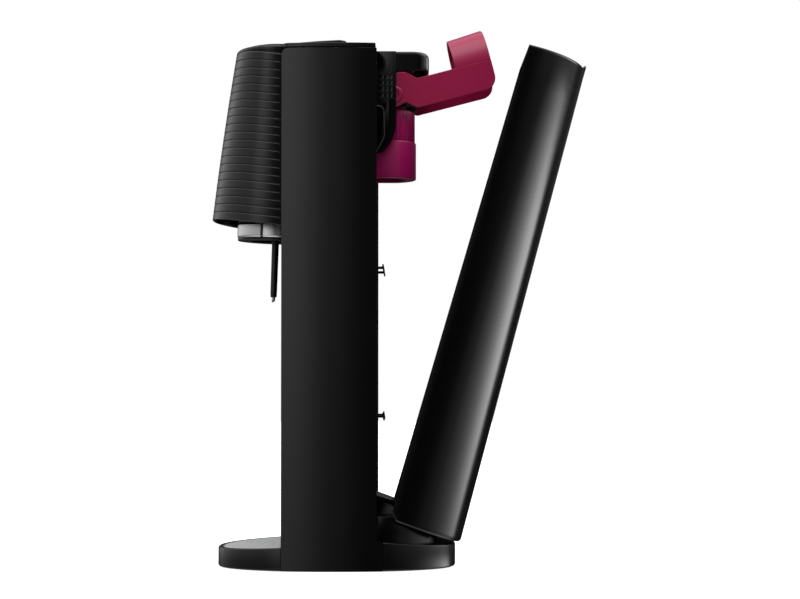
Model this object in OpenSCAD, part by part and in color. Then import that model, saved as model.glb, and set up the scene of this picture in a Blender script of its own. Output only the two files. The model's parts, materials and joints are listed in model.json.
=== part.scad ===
// Home soda carbonator, free-standing, with its rear cover leaning open and its cylinder lever raised.
// Origin at the middle of the base's underside; the front faces -Y and +Z is up. Millimetres.

/* [Base] */
// Width of the base
base_w = 148; // [144:1:152]
// Length of the base, front to rear
base_len = 190.6; // [188:0.2:193]
// Squareness of the plan outline, where 2 is an ellipse
plan_n = 2.5; // [2.3:0.1:2.7]
// Height of the base at its front edge
deck_front_z = 13.7; // [13:0.1:14.5]
// Height of the base at its rear edge
deck_rear_z = 18.2; // [17.6:0.1:18.6]

/* [Column] */
// Front edge of the side panels
col_front_y = -41.8; // [-42.5:0.1:-41.5]
// Rear edge of the side panels
col_rear_y = 32.6; // [32:0.1:33]
// Top of the side panels
col_top_z = 408.4; // [407.5:0.1:408.6]
// Wall of the side panels
panel_t = 2.6; // [2.2:0.1:2.8]
// Radius of the recess that the bottle stands in
recess_r = 44.5; // [43.5:0.5:44.5]
// Inner radius of the gas cylinder's bay
bay_r = 32; // [31.5:0.1:32.2]

/* [Head] */
// Lowest point of the head's front rim
head_low_z = 277.3; // [276:0.1:279]
// Height of the head's side wall at the top
head_top_z = 412.4; // [411:0.1:413]
// Reach of the head's front at its rim
head_low_y = -100.6; // [-101:0.1:-99]
// Reach of the head's front at its top
head_high_y = -81.2; // [-82:0.1:-80]
// Slope of the head's lower rim
rim_tilt = 7.1; // [6:0.1:8]

/* [Nozzle] */
// Middle of the bottle and of the upright nozzle
bottle_y = -48.5; // [-49:0.1:-48]
// Forward lean of the nozzle with no bottle in it
nozzle_lean = 1.9; // [1:0.1:3]
// Outer radius of the bright collar
collar_r = 31; // [30.6:0.1:31.2]

/* [Cylinder lever] */
// Angle of the raised lever's arm above level
lever_rest = 14.5; // [10:0.5:15]
// Length of the lever from its pivot
lever_len = 81.5; // [80:0.5:82]
// Height of the pivot
lever_z = 377.5; // [377.3:0.1:377.7]

/* [Rear cover] */
// Lean of the opened cover
cover_lean = 16.4; // [15:0.1:17]
// Half width of the cover at its front edge
cover_hw = 72; // [71:0.5:72.5]
// Depth of the cover at its top
cover_top_d = 51; // [50:0.5:52]
// Depth of the cover at its foot
cover_foot_d = 61; // [60:0.5:61]

/* [Hidden] */
$fn = 64;

black = [0.07, 0.07, 0.075];
dark = [0.13, 0.13, 0.14];
grey = [0.45, 0.45, 0.47];
magenta = [0.55, 0.07, 0.27];
steel = [0.72, 0.72, 0.74];
brass = [0.75, 0.6, 0.3];
gap = 0.3;
cut = 1;
half_w = base_w / 2;
half_len = base_len / 2;
recess_back_y = bottle_y + recess_r;
bay_y = 34;
deck_high_y = 36;
deck_high_z = 22.9;
deck_slope = 0.058;
deck_back_slope = (deck_high_z - deck_rear_z) / (half_len - deck_high_y);
wall = 2.4;
panel_top_r = 4.8;
foot_flare = 4.5;
underside_z = 297.8;
bracket_z = 396.4;
pivot_y = -30;
pivot_z = 312;
pin_r = 2.5;
run_gap = 0.05;
lever_y = 46.8;
plate_out = 29;
plate_in = 26;
rocker_y = 58;
rocker_z = 404.5;
rocker_low = 402;
rocker_high = 407;
rocker_tip_y = -22;
rocker_hw = 5;
heel_closed = [94, 18.9];
heel_open = [99.5, 19];
cover_h = 391;
roof_tilt = 2.5;
cover_t = 2.2;
shoe_pin = [90, 27];
hose_z = 384;
shelf_z = 387;
shelf_t = 3;
bracket_screw = [36, 22];

// Height of the base's upper face at a place along its length
function deck_z(y) = y < recess_back_y ? deck_front_z + (y + half_len) * deck_slope
    : y < deck_high_y ? deck_z(recess_back_y - 0.001)
        + (y - recess_back_y) / (deck_high_y - recess_back_y)
        * (deck_high_z - deck_z(recess_back_y - 0.001))
    : deck_high_z - (y - deck_high_y) * deck_back_slope;

// Signed power, for rounded-square outlines
function spow(v, e) = sign(v) * pow(abs(v), e);

// Points of a rounded-square outline, from one angle to another
function round_pts(hx, hy, n, a0, a1, steps) =
    [for (i = [0:steps]) let (t = a0 + (a1 - a0) * i / steps)
        [hx * spow(cos(t), 2 / n), hy * spow(sin(t), 2 / n)]];

// Points of an arc
function arc_pts(c, r, a0, a1, steps = 8) =
    [for (i = [0:steps]) let (t = a0 + (a1 - a0) * i / steps) [c[0] + r * cos(t), c[1] + r * sin(t)]];

// Outline of the base, drawn in by an inset
module plan(inset = 0) {
    polygon(round_pts(half_w - inset, half_len - inset, plan_n, 0, 355, 71));
}

// Carries a side outline, drawn as (Y, Z), along X from one place to another
module along_x(x0, x1) {
    translate([x0, 0, 0]) rotate([90, 0, 90]) linear_extrude(x1 - x0) children();
}

// A copy on each side of the middle plane
module both_sides() {
    children();
    mirror([1, 0, 0]) children();
}

// A slab of the plan outline between two places along Y
module plan_band(inset, y0, y1) {
    intersection() {
        plan(inset);
        translate([-half_w, y0]) square([base_w, y1 - y0]);
    }
}

// Side outline of the base, its upper face lowered by a drop
module deck_outline(drop, low) {
    ys = [-half_len - cut, recess_back_y, deck_high_y, half_len + cut];
    polygon(concat([[ys[0], low]], [[ys[3], low]],
        [for (i = [3:-1:0]) [ys[i], deck_z(ys[i]) - drop]]));
}

// Outline of the drip tray, drawn in by an inset
module tray_outline(inset) {
    intersection() {
        plan(4 + inset);
        union() {
            translate([-half_w, -half_len]) square([base_w, half_len + col_front_y - 0.8 - inset]);
            translate([0, bottle_y]) circle(recess_r - 1 - inset);
        }
    }
}

module base_shell() {
    hollow_inset = 5.5;
    pocket = 5.4;
    color(dark) difference() {
        intersection() {
            translate([0, 0, 0.5]) linear_extrude(40) plan();
            along_x(-half_w, half_w) deck_outline(0, 0);
        }
        intersection() {
            translate([0, 0, -cut]) linear_extrude(60) plan(hollow_inset);
            union() {
                along_x(-half_w, half_w) intersection() {
                    deck_outline(wall, -cut);
                    translate([recess_back_y + 1, -cut]) square([half_len, 60]);
                }
                along_x(-half_w, half_w) deck_outline(pocket + wall, -cut);
            }
        }
        intersection() {
            translate([0, 0, -cut]) linear_extrude(60) tray_outline(-gap);
            along_x(-half_w, half_w) difference() {
                deck_outline(-cut, 0);
                deck_outline(pocket, -cut);
            }
        }
        translate([0, 0, -cut]) linear_extrude(60) difference() {
            translate([-half_w, col_front_y - gap])
                square([base_w, col_rear_y - col_front_y + foot_flare + 2 * gap]);
            plan(panel_t + gap);
        }
    }
}

foot_places = [[46, 52], [46, -52]];
foot_r = 8;
screw_places = [[52, 22], [52, -22], [18, 72], [18, -72]];

module base_plate() {
    color(black) difference() {
        linear_extrude(wall) plan(5.9);
        both_sides() {
            for (p = foot_places) translate([p[0], p[1], -cut]) cylinder(r = foot_r + 0.1, h = 10);
            for (p = screw_places) translate([p[0], p[1], -cut]) cylinder(r = 3.2, h = 10);
        }
    }
}

module rubber_feet() {
    color(dark) both_sides() for (p = foot_places) translate([p[0], p[1], 0]) cylinder(r = foot_r, h = wall + 0.6);
}

module base_screws() {
    color(steel) both_sides() for (p = screw_places) translate([p[0], p[1], 0.6]) difference() {
        union() {
            cylinder(r = 3, h = 1.8);
            cylinder(r = 1.5, h = 4.2);
        }
        translate([0, 0, -cut]) cylinder(r = 1.2, h = cut + 0.8, $fn = 6);
    }
}

module drip_tray() {
    skirt = 5.2;
    color(grey) difference() {
        intersection() {
            translate([0, 0, 0]) linear_extrude(40) tray_outline(0);
            along_x(-half_w, half_w) difference() {
                deck_outline(0.2, 0);
                deck_outline(skirt, -cut);
            }
        }
        intersection() {
            linear_extrude(40) tray_outline(2);
            along_x(-half_w, half_w) deck_outline(2.2, -cut);
        }
    }
}

// One side skin of the column, following the base's plan, its upper front corner rounded and its foot longer
module side_panel() {
    intersection() {
        linear_extrude(col_top_z) difference() {
            plan_band(0, col_front_y, col_rear_y + foot_flare);
            plan(panel_t);
        }
        along_x(0, half_w + cut) polygon(concat(
            [[col_front_y, 0.5], [col_rear_y + foot_flare, 0.5], [col_rear_y + foot_flare, 21.6], [col_rear_y, 27],
                [col_rear_y, col_top_z]],
            arc_pts([col_front_y + panel_top_r, col_top_z - panel_top_r], panel_top_r, 90, 180)));
    }
}

module side_panel_right() {
    color(black) side_panel();
}

module side_panel_left() {
    color(black) mirror([1, 0, 0]) side_panel();
}

module front_panel() {
    flange_y = col_front_y + 0.3;
    color(black) difference() {
        linear_extrude(underside_z - 0.1) difference() {
            intersection() {
                plan(panel_t + gap);
                union() {
                    translate([-half_w, flange_y]) square([base_w, wall]);
                    intersection() {
                        translate([0, bottle_y]) circle(recess_r + wall);
                        translate([-half_w, flange_y]) square([base_w, 60]);
                    }
                }
            }
            translate([0, bottle_y]) circle(recess_r);
        }
        along_x(-half_w, half_w) deck_outline(-0.1, -cut);
    }
}

module column_frame() {
    rear_y = col_rear_y - 1.4;
    color(black) difference() {
        translate([0, 0, deck_high_z + 0.1]) linear_extrude(bracket_z - deck_high_z - 0.1) {
            difference() {
                intersection() {
                    translate([0, bay_y]) circle(bay_r + wall);
                    translate([-half_w, -10]) square([base_w, rear_y + 10]);
                }
                translate([0, bay_y]) circle(bay_r);
            }
            both_sides() intersection() {
                plan(panel_t + gap);
                translate([bay_r + 0.6, rear_y - wall]) square([half_w, wall]);
            }
            both_sides() intersection() {
                plan(panel_t + gap);
                translate([bay_r + 22, -30]) square([wall, rear_y + 30 - wall]);
            }
        }
        translate([-rocker_hw - 1, -10, bracket_z - 3.4]) cube([2 * rocker_hw + 2, 20, 10]);
        translate([0, -10, hose_z]) rotate([-90, 0, 0]) cylinder(r = 2.9, h = 20);
    }
}

module top_cap() {
    cap_low = 409.2;
    cap_high = 412.5;
    corner = 7.4;
    color(black) difference() {
        union() {
            translate([0, 0, cap_low]) linear_extrude(cap_high - cap_low) intersection() {
                plan(0.6);
                polygon([[-half_w, col_front_y + corner], [-half_w + 6 + corner, col_front_y + 0.4],
                    [half_w - 6 - corner, col_front_y + 0.4], [half_w, col_front_y + corner],
                    [half_w, col_rear_y - 0.9], [-half_w, col_rear_y - 0.9]]);
            }
            translate([0, 0, bracket_z + 2.4]) linear_extrude(cap_low - bracket_z - 2.4) difference() {
                plan_band(panel_t + gap, col_front_y + 8, col_rear_y - 1.5);
                plan(panel_t + gap + 2);
            }
        }
        translate([-20.4, col_front_y - cut, cap_low - cut]) cube([40.8, 51.7 + cut, 10]);
    }
}

// The sloping rest under the gas cylinder and the raised floor behind the column
module cylinder_cradle() {
    floor_z = 42.4;
    low = deck_high_z + 0.1;
    step_hw = 66;
    step_d = 50;
    rib = [[2, low], [55, low], [55, 48.5], [2, 67]];
    color(black) union() {
        intersection() {
            translate([0, bay_y, low]) cylinder(r = bay_r - gap, h = 60);
            along_x(-bay_r, bay_r) polygon([[2, 68.5], [59, 48], [59, 45], [2, 65.5]]);
        }
        intersection() {
            translate([0, bay_y, low]) cylinder(r = bay_r - gap, h = 60);
            union() {
                along_x(-wall / 2, wall / 2) polygon(rib);
                along_x(-24, -24 + wall) polygon(rib);
                along_x(24 - wall, 24) polygon(rib);
            }
        }
        difference() {
            translate([0, col_rear_y + 0.3, 0]) linear_extrude(floor_z)
                polygon(round_pts(step_hw, step_d, 2.2, 0, 180, 48));
            translate([0, col_rear_y + 16, 0]) linear_extrude(floor_z - wall)
                polygon(round_pts(step_hw - wall - 2, step_d - 16 - wall, 2.2, 0, 180, 48));
            translate([-24, 58, -cut]) cube([48, 40, 80]);
            along_x(-half_w, half_w) deck_outline(-0.1, -cut);
            translate([-half_w, 0, -cut]) cube([base_w, col_rear_y + foot_flare + gap, 23.5 + cut]);
        }
    }
}

// Hooks on the column's rear edge that the cover clips on
module cover_catches() {
    rear_y = col_rear_y - 1.4;
    color(black) both_sides() for (z = [236.9, 119.1]) translate([36, rear_y + 0.02, z]) along_x(0, 4.6)
        polygon([[0, 0], [6, 0], [6.4, -2.3], [7.7, -2.3], [6.7, 3.9], [5.4, 3.9], [5.5, 2], [0, 2]]);
}

// Plan slab of the head at a height, its walls drawn in by an inset; lower ones may be tilted
module head_slab(reach_y, half, inset, z, tilt, grow) {
    depth = col_front_y - reach_y;
    translate([0, col_front_y - 0.5, z]) rotate([-tilt, 0, 0]) translate([0, 0, -0.01])
        linear_extrude(0.02) polygon(concat(
            round_pts(half - inset, depth - 0.5 - inset, 2.3, 180, 360, 40), [[half - inset, grow], [inset - half, grow]]));
}

// Solid bell of the head: three slabs joined, wider and deeper towards its tilted rim
module head_bell(inset, top_z, drop, grow) {
    rim_rear_z = head_low_z - (head_low_y - col_front_y) * -tan(rim_tilt);
    hull() {
        head_slab(head_high_y + 3, 59, inset, top_z + 2.6, 0, grow);
        head_slab(head_high_y, 62, inset, top_z, 0, grow);
        head_slab(-92.6, 64.6, inset, 339, rim_tilt, grow);
        head_slab(head_low_y, 66, inset, rim_rear_z - drop, rim_tilt, grow);
    }
}

module head_shell() {
    color(black) difference() {
        head_bell(0, head_top_z, 0, 0);
        head_bell(wall, head_top_z - wall, 12, 3);
    }
}

module head_underside() {
    color(black) translate([0, 0, underside_z]) linear_extrude(wall) difference() {
        union() {
            translate([0, col_front_y]) polygon(round_pts(61.6, 52.4, 2.3, 180, 360, 40));
            translate([-53.6, col_front_y - 0.01]) square([107.2, recess_back_y - col_front_y + 3]);
        }
        translate([0, bottle_y]) circle(19);
    }
}

// Frame inside the head that the nozzle hangs from and the button's spring stands on
module nozzle_bracket() {
    arm_in = 17;
    arm_out = 20.5;
    back_y = -3.6;
    color(dark) difference() {
        union() {
            translate([-arm_out, back_y - 2.4, underside_z + wall + 0.05])
                cube([2 * arm_out, 2.4, shelf_z + shelf_t - underside_z - wall - 0.05]);
            both_sides() translate([arm_in, -37, underside_z + wall + 0.05])
                cube([arm_out - arm_in, 37 + back_y - 2.3, 24]);
            translate([-arm_out, -39, shelf_z]) cube([2 * arm_out, 39 + back_y - 2.3, shelf_t]);
        }
        translate([-arm_out - cut, pivot_y, pivot_z]) rotate([0, 90, 0]) cylinder(r = pin_r + run_gap, h = 50);
        translate([-4, back_y - 6, hose_z - 3.4]) cube([8, 10, 6]);
    }
}

module nozzle_pins() {
    color(steel) both_sides() translate([12, pivot_y, pivot_z]) rotate([0, 90, 0]) cylinder(r = pin_r, h = 9);
}

// Leans what is drawn for the upright nozzle to its place with no bottle in it
module leaned() {
    translate([0, pivot_y, pivot_z]) rotate([-nozzle_lean, 0, 0]) translate([0, -pivot_y, -pivot_z]) children();
}

module nozzle_body() {
    mouth_r = 20;
    cup_low = 259.8;
    cup_r = 28.8;
    color(black) leaned() difference() {
        union() {
            translate([0, bottle_y, cup_low]) cylinder(r = collar_r - 0.5, h = 2.2);
            translate([0, bottle_y, cup_low]) cylinder(r = cup_r, h = 20);
            translate([0, bottle_y, 274.4]) cylinder(r = collar_r - 0.6, h = 8);
            translate([0, bottle_y, 280]) cylinder(r = 14, h = 30);
            translate([-16, bottle_y - 6, 305]) cube([32, 24.5, 13]);
        }
        translate([0, bottle_y, cup_low - cut]) cylinder(r = mouth_r, h = 3.2 + cut);
        translate([0, bottle_y, cup_low + 2.4]) cylinder(r = 24.6, h = 14.4);
        translate([-20, pivot_y, pivot_z]) rotate([0, 90, 0]) cylinder(r = pin_r + run_gap, h = 40);
        translate([0, bottle_y, 270]) cylinder(r = 2.95, h = 60);
    }
}

module nozzle_collar() {
    color(steel) leaned() translate([0, bottle_y, 262.05]) difference() {
        cylinder(r = collar_r, h = 12.3);
        translate([0, 0, -cut]) cylinder(r = 28.85, h = 20);
    }
}

module bottle_seal() {
    color(grey) leaned() translate([0, bottle_y, 273.2]) difference() {
        cylinder(r = 15, h = 3.3);
        translate([0, 0, -cut]) cylinder(r = 3.6, h = 10);
    }
}

// One of the two jaws that close on the bottle's neck
module jaw() {
    leaned() translate([0, bottle_y, 263]) intersection() {
        difference() {
            cylinder(r = 22.6, h = 8);
            translate([0, 0, -cut]) cylinder(r = 16.5, h = 20);
        }
        translate([6, -20, 0]) cube([30, 40, 20]);
    }
}

module jaw_right() {
    color(dark) jaw();
}

module jaw_left() {
    color(dark) mirror([1, 0, 0]) jaw();
}

module carbonating_tube() {
    color(black) leaned() translate([0, bottle_y, 215]) difference() {
        union() {
            cylinder(r1 = 2.65, r2 = 2.9, h = 75);
            translate([0, 0, 48]) cylinder(r = 3.4, h = 9);
        }
        translate([0, 0, -cut]) cylinder(r = 1.45, h = 4 + cut);
    }
}

module tube_tip() {
    color(steel) leaned() translate([0, bottle_y, 210.6]) difference() {
        cylinder(r = 1.4, h = 8.3);
        translate([0, 0, -cut]) cylinder(r = 0.5, h = 5);
    }
}

module carbonating_button() {
    top = [[-42, 415.6], [-36, 418.8], [-28, 421.4], [-18, 423.7], [-8, 425.3], [1, 425.9], [5, 425.2],
        [7.6, 423], [9.3, 419]];
    low_z = 405;
    hw = 20;
    color(black) union() {
        difference() {
            along_x(-hw, hw) polygon(concat([[9.5, low_z], [-42, low_z]], top));
            along_x(-hw + wall, hw - wall) polygon(concat([[7.1, low_z - cut], [-39.6, low_z - cut]],
                [[-39.6, 414.5], [-28, 419], [-18, 421.3], [-8, 422.9], [1, 423.5], [7.1, 419]]));
            translate([-rocker_hw - 0.6, 0, low_z - cut])
                cube([2 * rocker_hw + 1.2, 20, rocker_high + 4.2 - low_z + cut]);
        }
        translate([0, -16, rocker_high + 2 * gap]) cylinder(r = 4, h = 14.6);
    }
}

spring_low = shelf_z + shelf_t + 0.1;
spring_high = 415;
spring_y = -31;

// Round wire wound into a helix between two heights
module coil_spring(coil_r, wire_r, low, high, turns) {
    sides = 8;
    per_turn = 12;
    rings = turns * per_turn;
    rise = (high - low - 2 * wire_r) / rings;
    pts = [for (i = [0:rings]) let (a = 360 * i / per_turn, z = low + wire_r + rise * i)
        for (k = [0:sides - 1]) let (b = 360 * k / sides, r = coil_r + wire_r * cos(b))
            [r * cos(a), r * sin(a), z + wire_r * sin(b)]];
    skin = [for (i = [0:rings - 1]) for (k = [0:sides - 1]) let (n = (k + 1) % sides)
        [i * sides + k, i * sides + n, (i + 1) * sides + n, (i + 1) * sides + k]];
    first = [[for (k = [sides - 1:-1:0]) k]];
    last = [[for (k = [0:sides - 1]) rings * sides + k]];
    polyhedron(points = pts, faces = concat(first, [for (f = skin) [f[3], f[2], f[1], f[0]]], last));
}

module button_spring() {
    color(steel) translate([0, spring_y, 0]) coil_spring(6, 0.6, spring_low, spring_high, 5);
}

// Bracket on top of the column: cheeks with cooling slots, lugs for the lever and posts for the rocker
module valve_bracket() {
    cheek_in = 29.4;
    cheek_out = 31.4;
    cheek_rear = 47.6;
    plate_t = 2.2;
    slots = [374, 379, 384, 389];
    color(black) difference() {
        union() {
            translate([-40, 10.5, bracket_z]) cube([80, 20.9, plate_t]);
            translate([-25.6, 31.3, bracket_z]) cube([51.2, 31, plate_t]);
            both_sides() {
                translate([cheek_in, 28.2, 0]) along_x(0, cheek_out - cheek_in) polygon(concat(
                    [[0, bracket_z + plate_t], [0, 330]], [[3.4, 330]],
                    arc_pts([-10.6, 354], 30, -52, -5, 10), [[19.4, 354], [19.4, 411.7], [3.6, 411.7],
                    [3.6, bracket_z + plate_t]]));
                translate([22, lever_y - 6, 372.6]) cube([3.7, 12, bracket_z - 372.5]);
                translate([7, rocker_y - 4, bracket_z]) cube([3, 8, 12]);
            }
        }
        both_sides() for (z = slots) translate([cheek_in - cut, 33.4, z]) cube([10, 8, 2.4]);
        translate([-26, lever_y, lever_z]) rotate([0, 90, 0]) cylinder(r = pin_r + run_gap, h = 52);
        translate([-15, rocker_y, rocker_z]) rotate([0, 90, 0]) cylinder(r = 2 + run_gap, h = 30);
        translate([-6, 10, bracket_z - cut]) cube([12, 37, 4]);
        both_sides() translate([bracket_screw[0], bracket_screw[1], bracket_z - cut]) cylinder(r = 1.6, h = 5);
    }
}

module bracket_screws() {
    color(steel) both_sides() translate([bracket_screw[0], bracket_screw[1], bracket_z + 0.1]) {
        translate([0, 0, 2.12]) cylinder(r = 3, h = 1.8);
        cylinder(r = 1.5, h = 2.3);
    }
}

valve_low = 380.6;

module valve_body() {
    color(brass) translate([0, bay_y, 0]) difference() {
        union() {
            translate([0, 0, valve_low]) cylinder(r = 11, h = bracket_z - 2.4 - valve_low);
            translate([0, 0, bracket_z - 2.42]) cylinder(r = 19, h = 2.4);
            translate([0, 0, valve_low - 4.6]) cylinder(r = 8, h = 5);
        }
        translate([0, 0, valve_low - 10]) cylinder(r = 2.05, h = 40);
        translate([0, -9, hose_z]) rotate([90, 0, 0]) cylinder(r = 2.6, h = 5);
    }
}

module valve_seal() {
    color(grey) translate([0, bay_y, valve_low - 6.4]) difference() {
        cylinder(r = 6.4, h = 1.75);
        translate([0, 0, -cut]) cylinder(r = 2.6, h = 5);
    }
}

module relief_valve() {
    color(brass) translate([11.05, bay_y, 387]) rotate([0, 90, 0]) {
        cylinder(r = 2.4, h = 6);
        translate([0, 0, 4]) cylinder(r = 3.6, h = 6, $fn = 6);
    }
}

module valve_plunger() {
    color(steel) translate([0, bay_y, 383]) cylinder(r = 2, h = 18.6);
}

// Gas pipe from the valve, forward over the bay's wall and down towards the nozzle
module gas_hose() {
    r = 2.4;
    bend = 10;
    end_y = -16;
    end_z = 326;
    color(grey) {
        translate([0, end_y + bend, hose_z]) rotate([-90, 0, 0])
            cylinder(r = r, h = bay_y - 11.1 - end_y - bend);
        translate([0, end_y + bend, hose_z - bend]) rotate([90, 0, -90])
            rotate_extrude(angle = 90) translate([bend, 0]) circle(r);
        translate([0, end_y, end_z]) cylinder(r = r, h = hose_z - bend - end_z);
    }
}

module rocker_lever() {
    color(dark) difference() {
        along_x(-rocker_hw, rocker_hw) polygon([[rocker_tip_y, rocker_low + 1.2], [-8, rocker_low],
            [rocker_y + 4, rocker_low], [rocker_y + 4, rocker_high], [rocker_tip_y, rocker_high]]);
        translate([-10, rocker_y, rocker_z]) rotate([0, 90, 0]) cylinder(r = 2 + run_gap, h = 20);
    }
}

module rocker_pin() {
    color(steel) translate([-10.5, rocker_y, rocker_z]) rotate([0, 90, 0]) cylinder(r = 2, h = 21);
}

module valve_housing() {
    low = 396.7;
    high = 411.9;
    front = 31.9;
    rear = 74.1;
    hw = 28;
    corner = 9;
    color(black) difference() {
        intersection() {
            translate([0, 0, low]) linear_extrude(high - low) polygon(concat([[-hw, front], [hw, front]],
                arc_pts([hw - corner, rear - corner], corner, 0, 90),
                arc_pts([corner - hw, rear - corner], corner, 90, 180)));
            along_x(-hw, hw) polygon(concat([[front - cut, low - cut], [rear + cut, low - cut]],
                arc_pts([rear - 5, high - 5], 5, 0, 90), [[front - cut, high]]));
        }
        translate([wall - hw - 0.2, front - cut, low - cut])
            cube([2 * (hw - wall + 0.2), rear - front - wall - corner + cut, high - low - wall + cut]);
        translate([corner - hw, front, low - cut])
            cube([2 * (hw - corner), rear - front - wall, high - low - wall + cut]);
    }
}

// Places what is drawn round the lever's pivot, with its arm along Y, at the raised position
module at_lever() {
    translate([0, lever_y, lever_z]) rotate([lever_rest, 0, 0]) children();
}

module cylinder_lever() {
    arm_low = -15;
    arm_high = 8;
    arch_start = 52;
    arch_rise = 26.1;
    arch_grow = 1.073;
    corner = 10;
    steps = 40;
    color(magenta) at_lever() difference() {
        union() {
            both_sides() along_x(plate_in, plate_out) polygon(concat(
                [[-7.5, -7], [-1, -10.4], [7.2, -8.2], [14.7, arm_low]],
                arc_pts([lever_len - corner, arm_low + corner], corner, -90, 0),
                [[lever_len, arm_high], [20, arm_high], [12.6, 15.2], [5, 16.6], [-3, 14.6], [-8, 6]]));
            translate([0, arch_start, arm_high]) rotate([-90, 0, 0]) mirror([0, 1, 0])
                linear_extrude(lever_len - arch_start, scale = [1, arch_grow]) polygon(concat(
                    round_pts(plate_out, arch_rise, 2, 0, 180, steps),
                    round_pts(plate_in, arch_rise - 2.8, 2, 180, 0, steps)));
        }
        translate([-40, 0, 0]) rotate([0, 90, 0]) cylinder(r = pin_r + run_gap, h = 80);
    }
}

module lever_pins() {
    color(magenta) both_sides() translate([21.9, lever_y, lever_z]) rotate([0, 90, 0]) cylinder(r = pin_r, h = 7.2);
}

// Plan of the sliding cylinder holder
module carriage_plan(r, hw) {
    intersection() {
        translate([0, bay_y]) circle(r);
        translate([-hw, 0]) square([2 * hw, 80]);
    }
}

module cylinder_carriage() {
    low = 310.7;
    step_z = 341;
    high = 366.7;
    socket_r = 20;
    color(magenta) difference() {
        union() {
            translate([0, 0, low]) linear_extrude(step_z - low) carriage_plan(29.8, 25.5);
            translate([0, 0, step_z]) linear_extrude(high - step_z) carriage_plan(29, 24);
        }
        translate([0, bay_y, low - cut]) cylinder(r = socket_r, h = 50 + cut);
        translate([0, bay_y, low]) cylinder(r = 12.4, h = 70);
    }
}

module carriage_cap() {
    color(black) intersection() {
        translate([0, 0, 360]) linear_extrude(20) difference() {
            intersection() {
                translate([0, bay_y]) circle(30.6);
                translate([-21.4, 0]) square([42.8, 80]);
            }
            translate([0, bay_y]) circle(12.4);
        }
        along_x(-22, 22) polygon([[0, 366.72], [70, 366.72], [70, 369.3], [64.6, 369.3], [57, 373], [49, 369.5],
            [0, 369.5]]);
    }
}

// Moves what is drawn for the closed cover to its opened place, leaning on its heel
module opened() {
    translate([0, heel_open[0], heel_open[1]]) rotate([-cover_lean, 0, 0])
        translate([0, -heel_closed[0], -heel_closed[1]]) children();
}

// Plan slab of the closed cover at one height, drawn in by an inset
module cover_slab(depth, inset, z, tilt) {
    front_y = heel_closed[0] - cover_foot_d;
    translate([0, front_y, z]) rotate([-tilt, 0, 0]) linear_extrude(0.02) polygon(concat(
        round_pts(cover_hw - inset, depth - inset, 2.15, 0, 180, 40), [[inset - cover_hw, -inset], [cover_hw - inset, -inset]]));
}

module rear_cover() {
    foot_tilt = atan(deck_back_slope);
    foot_z = heel_closed[1] + cover_foot_d * deck_back_slope;
    top_z = heel_closed[1] + cover_h;
    lug_z = 7;
    tab_hw = 18;
    tab_rise = 6;
    color(black) difference() {
        union() {
            opened() intersection() {
                difference() {
                    hull() {
                        cover_slab(cover_top_d, 0, top_z - 4, 0);
                        cover_slab(cover_top_d, 0, top_z + tab_rise, 0);
                    }
                    hull() {
                        cover_slab(cover_top_d, 2.2, top_z - 5, 0);
                        cover_slab(cover_top_d, 2.2, top_z + tab_rise + cut, 0);
                    }
                }
                translate([-tab_hw, heel_closed[0] - 30, top_z - 2]) cube([2 * tab_hw, 50, 20]);
            }
            opened() difference() {
                hull() {
                    cover_slab(cover_top_d - 1.5, 1.5, top_z, -roof_tilt);
                    cover_slab(cover_top_d, 0, top_z - 2.5, -roof_tilt);
                    cover_slab(cover_foot_d, 0, foot_z, foot_tilt);
                }
                hull() {
                    cover_slab(cover_top_d - 1.5, cover_t, top_z - cover_t - 0.5, -roof_tilt);
                    cover_slab(cover_foot_d, cover_t, foot_z - cut, foot_tilt);
                }
            }
            both_sides() intersection() {
                translate([16, shoe_pin[0], shoe_pin[1]]) rotate([0, 90, 0]) cylinder(r = 4.4, h = 4);
                translate([16, shoe_pin[0] - 6, shoe_pin[1] - 6]) cube([4, 20, 20]);
            }
            both_sides() translate([16, shoe_pin[0] + 1, shoe_pin[1] - 3]) cube([4, 9.2, lug_z]);
        }
        translate([-30, shoe_pin[0], shoe_pin[1]]) rotate([0, 90, 0]) cylinder(r = 2 + run_gap, h = 60);
    }
}

// Foot that carries the cover's hinge pin and slides on the rear of the base
module cover_shoe() {
    front = 78;
    rear = 93;
    thick = 3;
    color(dark) difference() {
        union() {
            along_x(-14, 14) polygon([[front, deck_z(front) + 0.1], [rear, deck_z(rear) + 0.1],
                [rear, deck_z(rear) + thick], [front, deck_z(front) + thick]]);
            both_sides() translate([11, shoe_pin[0] - 3.6, deck_z(shoe_pin[0]) + 1]) cube([3, 6.4, 11.3]);
        }
        translate([-30, shoe_pin[0], shoe_pin[1]]) rotate([0, 90, 0]) cylinder(r = 2 + run_gap, h = 60);
    }
}

module cover_pin() {
    color(steel) translate([-20.6, shoe_pin[0], shoe_pin[1]]) rotate([0, 90, 0]) cylinder(r = 2, h = 41.2);
}

base_shell();
base_plate();
rubber_feet();
base_screws();
drip_tray();
side_panel_left();
side_panel_right();
front_panel();
column_frame();
top_cap();
cylinder_cradle();
cover_catches();
head_shell();
head_underside();
nozzle_bracket();
nozzle_pins();
nozzle_body();
nozzle_collar();
bottle_seal();
jaw_left();
jaw_right();
carbonating_tube();
tube_tip();
carbonating_button();
button_spring();
valve_bracket();
bracket_screws();
valve_body();
valve_seal();
relief_valve();
valve_plunger();
gas_hose();
rocker_lever();
rocker_pin();
valve_housing();
cylinder_lever();
lever_pins();
cylinder_carriage();
carriage_cap();
rear_cover();
cover_shoe();
cover_pin();
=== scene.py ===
"""Home soda carbonator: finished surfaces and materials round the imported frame.

The scene is in metres, +Z up, with the front towards -Y. Pieces are drawn in millimetres."""
import json
import math

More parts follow.
